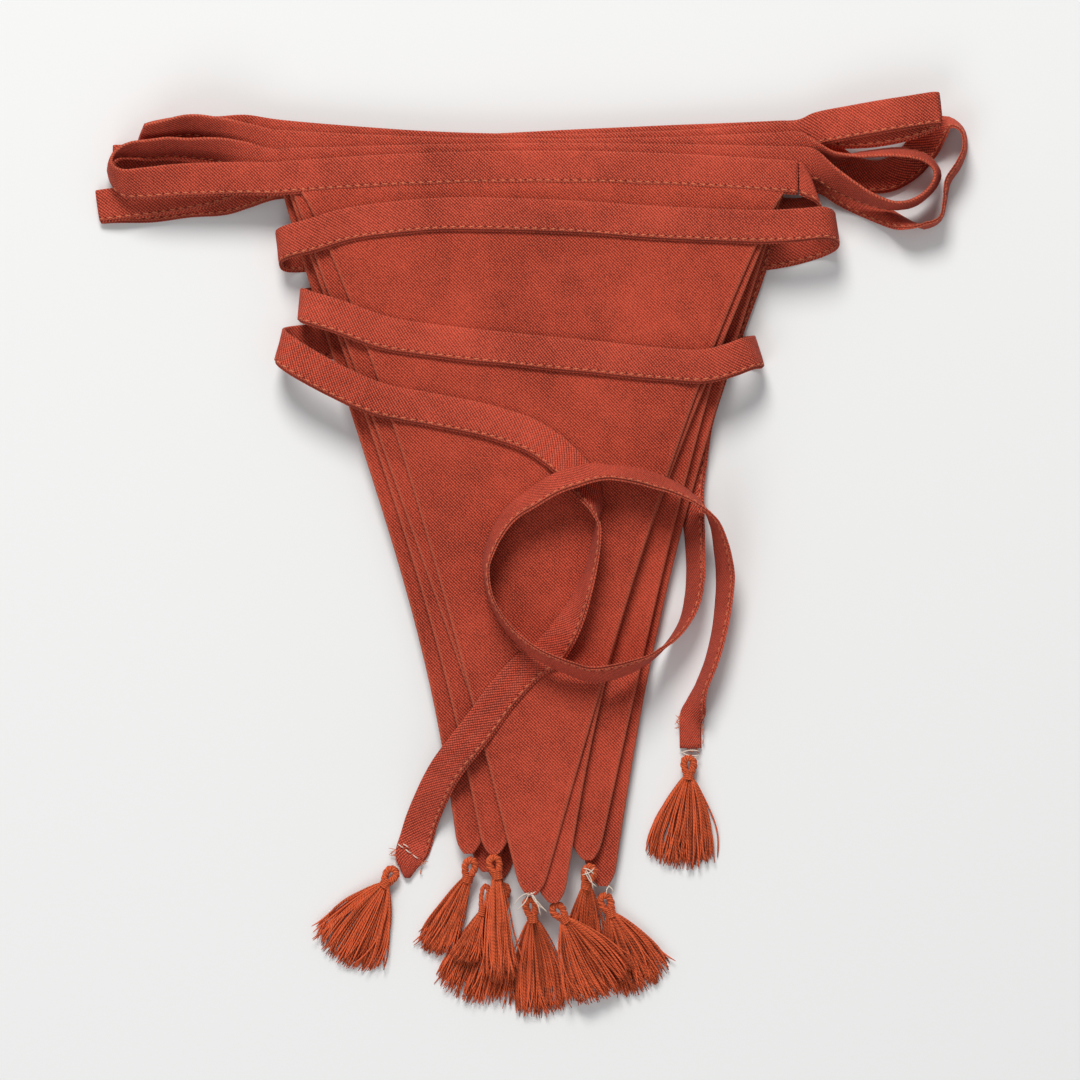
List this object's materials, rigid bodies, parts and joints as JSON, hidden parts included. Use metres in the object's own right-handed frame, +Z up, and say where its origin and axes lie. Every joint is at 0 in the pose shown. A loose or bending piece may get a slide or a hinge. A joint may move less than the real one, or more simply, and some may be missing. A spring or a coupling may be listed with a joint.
{
  "type": "fabric bunting",
  "caption": "Folded bunting of long cotton pennants on a narrow tape, with yarn tassels at the tips and its free ends tied round the stack.",
  "frame": {"origin": "middle of the folded bunting in plan, on the surface that it lies on", "axes": "+Z up from the surface, +Y from the tassels at the tips towards the heading, +X to the right seen from above"},
  "size_m": [0.2812, 0.2973, 0.0279],
  "materials": {
    "cloth": "matte cotton twill",
    "tape": "matte cotton twill, topstitched",
    "yarn": "soft twisted yarn"
  },
  "bodies": {
    "root": {"heading_tape": "tape", "tie_long": "tape", "tie_short": "tape", "flag_1": "cloth", "flag_2": "cloth", "flag_3": "cloth", "flag_4": "cloth", "flag_5": "cloth", "flag_6": "cloth", "flag_7": "cloth", "flag_8": "cloth", "tassel_flag_1": "yarn", "tassel_flag_2": "yarn", "tassel_flag_3": "yarn", "tassel_flag_4": "yarn", "tassel_flag_5": "yarn", "tassel_flag_6": "yarn", "tassel_flag_7": "yarn", "tassel_flag_8": "yarn", "tassel_tie_long": "yarn", "tassel_tie_short": "yarn"}
  },
  "joints": []
}
